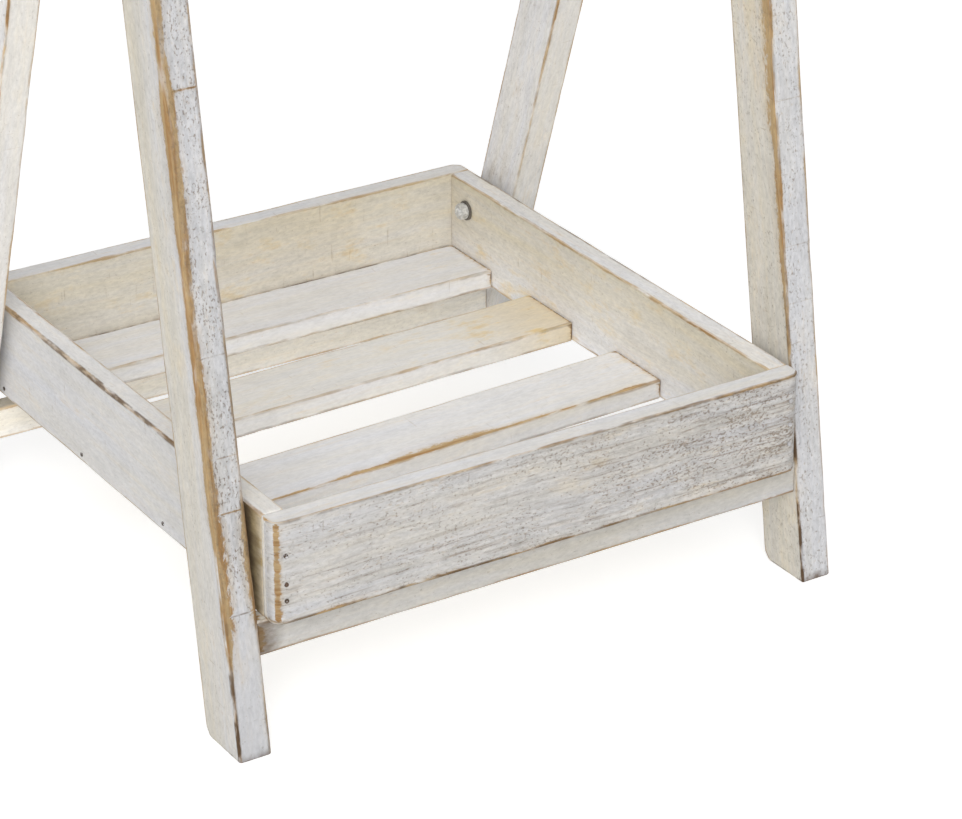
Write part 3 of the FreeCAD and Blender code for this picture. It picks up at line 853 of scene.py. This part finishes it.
def plated_steel(name):
    """Dull plated or bare steel with some rust."""
    steel = STEELS[name]
    material, tree, shader = new_material(name)
    dull = use_group(tree, "Dull Plate", {"Place": add(tree, "TexCoord").outputs["Object"]})
    plate = linear(getattr(finishes(), steel["plate"]))
    dark = tuple(channel * DARK_PLATE for channel in plate[:3]) + (1.0,)
    cloudy = blend_colours(tree, between(tree, dull["Tone"], *SPANS["cloudy"]), dark, plate)
    rusted = times(tree, dull["Bloom"], steel["rusted"])
    tree.links.new(blend_colours(tree, rusted, cloudy, linear(finishes().rust)), shader.inputs["Base Color"])
    metal = maths(tree, "MULTIPLY_ADD", rusted, RUST_DULLS, steel["metal"], clamp=True)
    tree.links.new(metal, shader.inputs["Metallic"])
    tree.links.new(weighed(tree, steel["rough"], (dull["Tone"], PLATE_ROUGH)), shader.inputs["Roughness"])
    bump = add(tree, "Bump", {"Strength": PLATE_BUMP, "Distance": PLATE_DEPTH, "Height": dull["Tone"]})
    tree.links.new(bump.outputs["Normal"], shader.inputs["Normal"])
    return material


def painted_nails():
    """Nail steel, smeared with wash and mostly painted over on the stand's right."""
    steel = plated_steel("nail_steel")
    tree = steel.node_tree
    shown = tree.nodes["Principled BSDF"].inputs["Base Color"]
    place = add(tree, "TexCoord").outputs["Object"]
    across = add(tree, "SeparateXYZ", {0: place}).outputs["X"]
    right = times(tree, between(tree, across, -PAINT_EDGE, PAINT_EDGE), PAINTED_RIGHT)
    painted = maths(tree, "MAXIMUM", times(tree, noise_mask(tree, place, "smeared"), SMEARED), right)
    wash = linear(finishes().cool_wash)
    tree.links.new(blend_colours(tree, painted, shown.links[0].from_socket, wash), shown)
    return steel


def turned_wood(name):
    """Bare dowel wood."""
    material, tree, shader = new_material(name)
    timber = use_group(tree, "Timber Grain", {"Grain": add(tree, "TexCoord").outputs["Object"]})
    tint = blend_colours(tree, between(tree, timber["Streaks"], *SPANS["turned"]),
                         linear(finishes().wood), linear(finishes().dark_wood))
    tree.links.new(tint, shader.inputs["Base Color"])
    tree.links.new(weighed(tree, DOWEL_ROUGH, (timber["Fibres"], DOWEL_FIBRES)), shader.inputs["Roughness"])
    return material


def dress(nodes, material):
    """Gives carried-over solids a finish."""
    for node in nodes:
        piece = frame["nodes"][node]
        piece.data.materials.clear()
        piece.data.materials.append(material)


# Pieces: places along a bar are in metres, and widths() takes worn widths and radii in millimetres
# A face's pale brightness is painted light and shade: above 1 on shaded faces, below 1 on lamp-lit outer
# faces.

def front_leg(side, seed):
    """What both front legs share."""
    leg = leg_bar("front_leg_" + side, front_slope, front_foot, front_level_width, seed, mitred=False)
    leg.paint(right=Face(tone=0.4, pits=0.4), back=Face(tone=0.4, pits=0.4))
    for before, after in (("right", "back"), ("back", "left")):
        leg.wear(before, after, chips=0.4)
    return leg


def front_left_leg():
    leg = front_leg("left", seed=11)
    leg.paint(
        # Front face: dark band at the foot, dirt with painted contact shadow
        front=Face(pale=0.735, shade_and_grime=[(0, 0.65), (0.004, 0.4), (0.010, 0.0)],
                   pits=[(0, 0.5), (0.06, 0.5), (0.08, 1.0), (0.10, 1.4), (0.13, 1.4), (0.16, 1.2),
                         (0.6, 1.1)],
                   cuts=[(0.0717, 0.3 * MM, 0.6), (0.1212, 0.8 * MM, 0.3), (0.1475, 0.4 * MM, 0.3),
                         (0.1951, 0.3 * MM, 0.4), (0.3169, 1.3 * MM, 0.3)]),
        # Right face darkened at the tray's height: painted shade in the gap between the leg and the tray
        right=Face(tone=0.5, pits=0.4, shade_and_grime=[(0.05, 0.0), (0.06, 0.8), (0.115, 0.8), (0.125, 0.0)]),
        left=Face(tone=(0.75, 0.15), pale=0.92, pits=0.6,
                  stain=[(0, 0.25), (0.10, 0.2), (0.25, 0.5), (0.6, 0.5)]))
    leg.wear("left", "front", chips=0.8,
             ease=widths((0, 0.8), (0.05, 1.0), (0.08, 2.0), (0.14, 2.6), (0.6, 2.8)),
             line=[(0, 1.2), (0.03, 1.0), (0.055, 0.6), (0.08, 0.1), (0.6, 0.1)],
             before_width=widths((0, 0.3), (0.04, 0.4), (0.08, 1.6), (0.12, 2.4), (0.6, 2.4)),
             after_width=widths((0, 0.5), (0.035, 0.7), (0.050, 1.6), (0.072, 4.6), (0.112, 4.6),
                                (0.135, 2.2), (0.25, 1.6), (0.30, 2.2), (0.345, 2.0), (0.45, 1.2),
                                (0.6, 1.2)))
    leg.wear("front", "right", chips=0.6, line=[(0, 0.5), (0.1, 0.5), (0.2, 0.35), (0.6, 0.35)],
             before_width=widths((0, 0.4), (0.06, 0.6), (0.07, 2.0), (0.115, 2.0), (0.125, 0.5)))
    # Dark line at the foot end: dirt with painted contact shadow
    leg.end_dirt_and_shade_lines = (1.1, 0.0)
    place_bar(leg, "front_frame", "leg_wood")


def front_right_leg():
    leg = front_leg("right", seed=12)
    leg.paint(
        # Front face: dark band at the foot, dirt with painted contact shadow
        front=Face(tone=0.05, pale=0.83, pits=1.0, shade_and_grime=[(0, 0.6), (0.004, 0.4), (0.008, 0.0)],
                   cuts=[(0.146, 0.3 * MM, 0.25), (0.175, 0.3 * MM, 0.35), (0.248, 0.3 * MM, 0.3)]),
        # Left face: darker just above the lower tray's top edge
        left=Face(tone=0.62, pale=0.93, pits=0.75, stain=[(0, 0.4), (0.6, 0.5)],
                  shade_and_grime=[(0.10, 0.0), (0.115, 0.38), (0.13, 0.32), (0.15, 0.0)]))
    leg.wear("left", "front", chips=0.7,
             ease=widths((0, 0.5), (0.11, 0.6), (0.16, 1.0), (0.6, 1.2)),
             line=[(0, 1.2), (0.06, 1.2), (0.11, 0.7), (0.16, 0.3), (0.6, 0.3)],
             before_width=widths((0, 0.5), (0.12, 0.8), (0.15, 2.4), (0.22, 2.8), (0.26, 7.0), (0.34, 7.0),
                                 (0.42, 3.5), (0.6, 3.5)),
             after_width=widths((0, 0.4), (0.15, 0.8), (0.6, 0.9)))
    leg.wear("front", "right", chips=0.5)
    # Dark line at the foot end: dirt with painted contact shadow
    leg.end_dirt_and_shade_lines = (1.0, 0.0)
    place_bar(leg, "front_frame", "leg_wood")


def rear_leg(side, seed):
    front_y = rear_foot - 2 * rear_half
    leg = leg_bar("rear_leg_" + side, -rear_slope, front_y, 2 * rear_half, seed, mitred=True)
    # Front and side faces made paler: painted light, for the shade of the tray above
    leg.paint(front=Face(tone=0.35, pale=1.12, pits=0.4),
              right=Face(tone=0.15, pale=1.18, pits=0.6),
              back=Face(tone=0.3, pits=0.4),
              # Left face: darker just above the lower tray's top edge
              left=Face(tone=0.15, pale=1.18, pits=0.6,
                        shade_and_grime=[(0.10, 0.2), (0.118, 0.38), (0.14, 0.33), (0.19, 0.2), (0.23, 0.0)]))
    worn = widths((0, 0.1), (0.15, 0.4), (0.28, 0.9), (0.6, 0.9))
    leg.wear("left", "front", ease=0.5 * MM, before_width=worn, after_width=worn,
             line=[(0, 0.1), (0.17, 0.3), (0.30, 0.45), (0.6, 0.4)])
    place_bar(leg, "rear_frame", "leg_wood")


def crossbar(node, body, seed):
    bar = straight_bar(node, X, CROSSBAR_POINTS, seed)
    # Front face made darker: painted shade, to even out the lamps' light on it
    front = Face(tone=0.4, pale=0.79, pits=0.5)
    # The rear crossbar's front face is made paler as painted light, for the shade under the tray, and darker
    # towards its right end
    if node == "rear_crossbar":
        front = Face(tone=0.6, pale=1.32, pits=0.5, shade_and_grime=[(0.08, 0.0), (0.10, 0.2), (0.13, 0.25)])
    if node == "lower_crossbar":
        # Left end and top front arris darkened: painted shadow under the front board, with some stain
        front.shade_and_grime = [(-0.15, 0.6), (-0.143, 0.45), (-0.135, 0.0)]
        bar.wear("top", "front", line=[(-0.15, 0.9), (-0.02, 0.9), (0.05, 0.4), (0.15, 0.3)])
    bar.paint(bottom=Face(tone=0.5, pits=0.4), back=Face(tone=0.4, pits=0.4), top=Face(tone=0.6, pits=0.4),
              front=front)
    bar.end_widths = (5.0 * MM, 0.6 * MM)
    place_bar(bar, body, "crossbar_wood")


def front_board(tray, seed):
    board = end_board(tray + "_front_board", seed, front=True)
    board.paint(
        bottom=Face(tone=0.6, pits=0.3, end_wear=0.3),
        back=Face(tone=0.6, pale=1.1, pits=0.4, end_wear=0.0),
        top=Face(tone=0.15, pale=1.06, pits=0.2, end_wear=0.4),
        front=Face(tone=0.25, pale=0.81, end_wear=0.0,
                   pits=[(-0.15, 0.8), (0.03, 1.0), (0.08, 1.2), (0.15, 1.3)],
                   stain=[(-0.15, 0.15), (0.0, 0.2), (0.03, 0.6), (0.06, 0.5), (0.1, 0.15)],
                   ridges=[(-0.15, 0.6), (-0.05, 0.7), (0.03, 0.85), (0.08, 1.0), (0.15, 1.1)],
                   cuts=[(board.start + 2.1 * MM, 3.4 * MM, 0.1)]))
    # Bottom front arris darkened: painted shadow of the gap above the crossbar, with some stain
    board.wear("front", "bottom", line=[(-0.15, 0.5), (-0.12, 0.9), (-0.02, 0.9), (0.05, 0.5), (0.15, 0.3)],
               before_width=widths((-0.15, 0.6), (-0.12, 1.0), (0.0, 1.0), (0.15, 0.5)))
    inner = widths((-0.14, 0.05), (-0.13, 0.4), (0.13, 0.4), (0.14, 0.05))
    board.wear("back", "top", before_width=inner, after_width=inner)
    board.wear("top", "front", ease=widths((-0.15, 0.5), (0.15, 0.6)),
               line=[(-0.15, 0.45), (0.0, 0.5), (0.15, 0.65)],
               after_width=widths((-0.15, 0.3), (0.0, 0.4), (0.15, 0.7)))
    board.end_widths = (2.2 * MM, 0.8 * MM)
    place_bar(board, tray + "_tray", "tray_wood")


def back_board(tray, seed):
    board = end_board(tray + "_back_board", seed, front=False)
    board.paint(bottom=Face(tone=0.6, pits=0.3),
                back=Face(tone=0.2, pits=0.4),
                top=Face(tone=0.2, pale=1.15, pits=0.2),
                front=Face(tone=(0.9, 0.5), pale=(1.0, 1.07), pits=0.55,
                           stain=[(-0.15, 0.6), (0.0, 0.9), (0.07, 0.95), (0.11, 0.5), (0.15, 0.3)]))
    board.wear("top", "front", ease=0.6 * MM, after_width=0.45 * MM)
    board.end_widths = (1.5 * MM, 1.0 * MM)
    place_bar(board, tray + "_tray", "tray_wood")


def left_board(tray, seed):
    board = straight_bar(tray + "_left_board", Y, SIDE_BOARD_POINTS, seed)
    # Outer face stained and darkened near the front end: painted shade in the gap between the leg and the
    # tray, tinted brown
    board.paint(left=Face(tone=0.2, pale=0.98,
                          stain=[(-0.16, 1.3), (-0.152, 1.8), (-0.115, 1.8), (-0.105, 0.2)],
                          shade_and_grime=[(-0.16, 0.4), (-0.152, 0.55), (-0.14, 1.0), (-0.122, 1.0), (-0.112, 0.0)]),
                top=Face(tone=0.2, pale=1.1),
                right=Face(tone=0.75, pale=1.12, stain=0.6),
                bottom=Face(tone=0.6))
    board.wear("left", "top", line=[(-0.16, 0.3), (-0.02, 0.9), (0.14, 0.5)])
    board.end_widths = (0.1 * MM, 0.5 * MM)
    place_bar(board, tray + "_tray", "tray_wood")


def right_board(tray, seed):
    board = straight_bar(tray + "_right_board", Y, SIDE_BOARD_POINTS, seed)
    # Inner face lighter and cooler white towards the bottom: painted light, as from the floor under the tray
    board.paint(left=Face(tone=(0.1, 1.0), pale=(1.2, 0.96), pits=0.5, stain=[(-0.16, 0.6), (0.14, 0.9)]),
                top=Face(tone=0.2, pale=1.15, pits=0.4),
                right=Face(tone=0.2, pits=0.4),
                bottom=Face(tone=0.6, pits=0.4))
    board.wear("left", "top", ease=0.7 * MM, before_width=0.7 * MM)
    board.wear("top", "right", line=[(-0.16, 0.3), (0.05, 0.6), (0.14, 0.6)])
    place_bar(board, tray + "_tray", "tray_wood")


def slat(node, seed):
    bar = slat_bar(node, seed)
    # Top, front and back made paler: painted light inside the tray
    top = Face(tone=0.15, pale=1.2, pits=0.15, stain=[(-0.14, 0.1), (0.08, 0.1), (0.12, 0.6), (0.14, 0.9)])
    front = Face(tone=0.25, pale=1.12, pits=0.2)
    bar.wear("front", "bottom", line=[(-0.14, 0.4), (0.14, 0.3)])
    bar.wear("top", "front", ease=0.6 * MM, line=[(-0.14, 0.15), (0.14, 0.35)])
    if node == "lower_slat_1":
        bar.wear("back", "top", line=0.9)
    if node == "lower_slat_2":
        top.tone = 0.4
        top.stain = [(-0.14, 0.3), (0.0, 0.4), (0.06, 0.7), (0.11, 1.2), (0.14, 1.4)]
        front.stain = [(-0.14, 0.2), (0.05, 0.4), (0.11, 1.1), (0.14, 1.5)]
    if node == "lower_slat_3":
        bar.wear("top", "front",
                 before_width=widths((-0.11, 0.8), (-0.08, 1.8), (-0.03, 3.6), (0.005, 4.2), (0.015, 7.0),
                                     (0.025, 5.0), (0.035, 1.4), (0.14, 0.8)))
    bar.paint(bottom=Face(tone=0.6, pits=0.3), back=Face(tone=0.4, pale=1.1, pits=0.3), top=top, front=front)
    bar.width = 0.4 * MM
    bar.end_widths = (1.0 * MM, 2.0 * MM)
    # Dark lines at the ends: dirt with painted shade where the slats meet the side boards
    bar.end_dirt_and_shade_lines = (0.8, 1.4)
    place_bar(bar, node.split("_")[0] + "_tray", "slat_wood")


# Stage

LAMPS = {
    "key": {"size": 2.4, "place": (-1.4, -1.9, 2.4), "aim": (0, 0, 0)},
    "fill": {"size": 1.5, "place": (-1.25, -2.15, 1.15), "aim": (0, 0, 0)},
    "ground": {"size": 0.26, "place": (0, 0.02, 3 * MM), "aim": (0, 0.02, 1)},
}
FLOOR_MOTTLE = 0.99
FLOOR_ROUGH, FLOOR_SPECULAR = 0.9, 0.1
SENSOR_WIDTH = 36
CLIP_END = 50
WHITE = (1, 1, 1, 1)


def seen_by_eye(tree):
    """1 where a ray comes from the camera, or from it by way of metal or glass."""
    path = add(tree, "LightPath").outputs
    mirrored = maths(tree, "MAXIMUM", path["Is Glossy Ray"], path["Is Transmission Ray"])
    return maths(tree, "MAXIMUM", path["Is Camera Ray"], mirrored)


def lay_floor(scene):
    """Pale floor, lifted to white for the eye, that keeps the stand's shadow."""
    half = studio().floor_side / 2
    mesh = bpy.data.meshes.new("floor")
    mesh.from_pydata([(-half, -half, 0), (half, -half, 0), (half, half, 0), (-half, half, 0)], [],
                     [(0, 1, 2, 3)])
    floor = bpy.data.objects.new("floor", mesh)
    scene.collection.objects.link(floor)
    material, tree, shader = new_material("pale_floor")
    mottle = noise_mask(tree, add(tree, "TexCoord").outputs["Object"], "mottle")
    pale = linear(studio().floor)
    tree.links.new(blend_colours(tree, mottle, pale, tuple(FLOOR_MOTTLE * value for value in pale)),
                   shader.inputs["Base Color"])
    shader.inputs["Roughness"].default_value = FLOOR_ROUGH
    shader.inputs["Specular IOR Level"].default_value = FLOOR_SPECULAR
    lift = times(tree, seen_by_eye(tree), studio().floor_lift)
    glow = add(tree, "Emission", {"Color": WHITE, "Strength": lift})
    both = add(tree, "AddShader", {0: shader.outputs["BSDF"], 1: glow.outputs["Emission"]})
    tree.links.new(both.outputs["Shader"], tree.nodes["Material Output"].inputs["Surface"])
    mesh.materials.append(material)


def light_sky(scene):
    """Even light from all round, white to the eye."""
    world = bpy.data.worlds.new("white_room")
    world.use_nodes = True
    scene.world = world
    tree = world.node_tree
    level = studio().sky_level
    background = tree.nodes["Background"]
    background.inputs["Color"].default_value = WHITE
    tree.links.new(weighed(tree, level, (seen_by_eye(tree), 1 - level)), background.inputs["Strength"])


def hang_lamp(scene, name):
    """Round soft lamp that the camera doesn't see."""
    data = bpy.data.lights.new(name, "AREA")
    data.shape = "DISK"
    data.size = LAMPS[name]["size"]
    data.energy = getattr(studio(), name + "_power")
    place, aim = Vector(LAMPS[name]["place"]), Vector(LAMPS[name]["aim"])
    lamp = bpy.data.objects.new(name, data)
    lamp.location = place
    lamp.rotation_euler = (aim - place).to_track_quat("-Z", "Y").to_euler()
    lamp.visible_camera = False
    scene.collection.objects.link(lamp)


def set_camera(scene):
    data = bpy.data.cameras.new("camera")
    data.sensor_width = SENSOR_WIDTH
    data.lens = studio().lens
    data.clip_end = CLIP_END
    camera = bpy.data.objects.new("camera", data)
    camera.location = studio().camera_place
    camera.rotation_euler = studio().camera_turn
    scene.collection.objects.link(camera)
    scene.camera = camera


# Operators: one for each group of like pieces

class PLANTSTAND_OT_finishes(bpy.types.Operator):
    """Build the shared grain, wear, pitting and plating effects"""

    bl_idname = "plantstand.finishes"
    bl_label = "Shared Finishes"

    def execute(self, context):
        make_timber_grain()
        make_worn_arris()
        make_pitting()
        make_dull_plate()
        return {"FINISHED"}


class PLANTSTAND_OT_front_legs(bpy.types.Operator):
    """Build the two front legs with their worn front arrises"""

    bl_idname = "plantstand.front_legs"
    bl_label = "Front Legs"

    def execute(self, context):
        front_left_leg()
        front_right_leg()
        return {"FINISHED"}


class PLANTSTAND_OT_rear_legs(bpy.types.Operator):
    """Build the two rear legs, mitred at the top"""

    bl_idname = "plantstand.rear_legs"
    bl_label = "Rear Legs"

    def execute(self, context):
        rear_leg("left", seed=13)
        rear_leg("right", seed=14)
        return {"FINISHED"}


class PLANTSTAND_OT_bars(bpy.types.Operator):
    """Build the crossbars under the trays and the rails at the top"""

    bl_idname = "plantstand.bars"
    bl_label = "Crossbars and Rails"

    def execute(self, context):
        crossbar("lower_crossbar", "front_frame", seed=21)
        crossbar("upper_crossbar", "front_frame", seed=22)
        crossbar("front_top_rail", "front_frame", seed=23)
        crossbar("rear_top_rail", "rear_frame", seed=24)
        crossbar("rear_crossbar", "rear_frame", seed=25)
        return {"FINISHED"}


class PLANTSTAND_OT_tray_boards(bpy.types.Operator):
    """Build the boards round both trays"""

    bl_idname = "plantstand.tray_boards"
    bl_label = "Tray Boards"

    def execute(self, context):
        for number, tray in enumerate(("lower", "upper")):
            front_board(tray, seed=31 + number)
            back_board(tray, seed=33 + number)
            left_board(tray, seed=35 + number)
            right_board(tray, seed=37 + number)
        return {"FINISHED"}


class PLANTSTAND_OT_slats(bpy.types.Operator):
    """Build the slats of both tray floors"""

    bl_idname = "plantstand.slats"
    bl_label = "Slats"

    def execute(self, context):
        nodes = sorted(name for name in frame["nodes"] if "_slat_" in name and "nails" not in name)
        for seed, node in enumerate(nodes, start=41):
            slat(node, seed)
        return {"FINISHED"}


class PLANTSTAND_OT_nails(bpy.types.Operator):
    """Finish the nails of both trays in dark steel, painted over on the right"""

    bl_idname = "plantstand.nails"
    bl_label = "Nails"

    def execute(self, context):
        dress([name for name in frame["nodes"] if name.endswith("nails")], painted_nails())
        return {"FINISHED"}


class PLANTSTAND_OT_pivots(bpy.types.Operator):
    """Finish the bolts, spacers, washers and nuts that the trays turn on"""

    bl_idname = "plantstand.pivots"
    bl_label = "Tray Pivots"

    def execute(self, context):
        pivots = [name for name in frame["nodes"] if "_pivot_" in name]
        dress([name for name in pivots if not name.endswith("washers")], plated_steel("pivot_zinc"))
        # Washers in a darker plate: painted shade round the nuts
        dress([name for name in pivots if name.endswith("washers")], plated_steel("washer_zinc"))
        return {"FINISHED"}


class PLANTSTAND_OT_hinges(bpy.types.Operator):
    """Finish the hinges between the leg frames"""

    bl_idname = "plantstand.hinges"
    bl_label = "Hinges"

    def execute(self, context):
        dress([name for name in frame["nodes"] if "hinge" in name], plated_steel("hinge_plate"))
        return {"FINISHED"}


class PLANTSTAND_OT_dowels(bpy.types.Operator):
    """Finish the dowels that hold crossbars and rails"""

    bl_idname = "plantstand.dowels"
    bl_label = "Dowels"

    def execute(self, context):
        dress([name for name in frame["nodes"] if name.endswith("dowels")], turned_wood("dowel_wood"))
        return {"FINISHED"}


class PLANTSTAND_OT_stage(bpy.types.Operator):
    """Lay the pale floor, and set the light and the camera"""

    bl_idname = "plantstand.stage"
    bl_label = "Stage"

    def execute(self, context):
        scene = bpy.context.scene
        scene.view_settings.view_transform = "Standard"
        lay_floor(scene)
        light_sky(scene)
        for name in LAMPS:
            hang_lamp(scene, name)
        set_camera(scene)
        return {"FINISHED"}


OPERATORS = (PLANTSTAND_OT_finishes, PLANTSTAND_OT_front_legs, PLANTSTAND_OT_rear_legs, PLANTSTAND_OT_bars,
             PLANTSTAND_OT_tray_boards, PLANTSTAND_OT_slats, PLANTSTAND_OT_nails, PLANTSTAND_OT_pivots,
             PLANTSTAND_OT_hinges, PLANTSTAND_OT_dowels, PLANTSTAND_OT_stage)


class PLANTSTAND_PT_pieces(bpy.types.Panel):
    """Lists the stand's pieces and what can be changed"""

    bl_idname = "PLANTSTAND_PT_pieces"
    bl_label = "Plant Stand"
    bl_space_type = "VIEW_3D"
    bl_region_type = "UI"
    bl_category = "Plant Stand"

    def draw(self, context):
        for operator in OPERATORS:
            self.layout.operator(operator.bl_idname)
        for group in (wood(), finishes(), studio()):
            box = self.layout.box()
            for name in group.__annotations__:
                box.prop(group, name)


CLASSES = (WornWood, Finishes, Studio, *OPERATORS, PLANTSTAND_PT_pieces)


def register():
    for cls in CLASSES:
        bpy.utils.register_class(cls)
    bpy.types.Scene.plant_stand_wood = bpy.props.PointerProperty(type=WornWood)
    bpy.types.Scene.plant_stand_finishes = bpy.props.PointerProperty(type=Finishes)
    bpy.types.Scene.plant_stand_studio = bpy.props.PointerProperty(type=Studio)


def unregister():
    for name in ("plant_stand_wood", "plant_stand_finishes", "plant_stand_studio"):
        delattr(bpy.types.Scene, name)
    for cls in reversed(CLASSES):
        bpy.utils.unregister_class(cls)


def main():
    register()
    for operator in OPERATORS:
        group, name = operator.bl_idname.split(".")
        getattr(getattr(bpy.ops, group), name)()


if __name__ == "__main__":
    main()
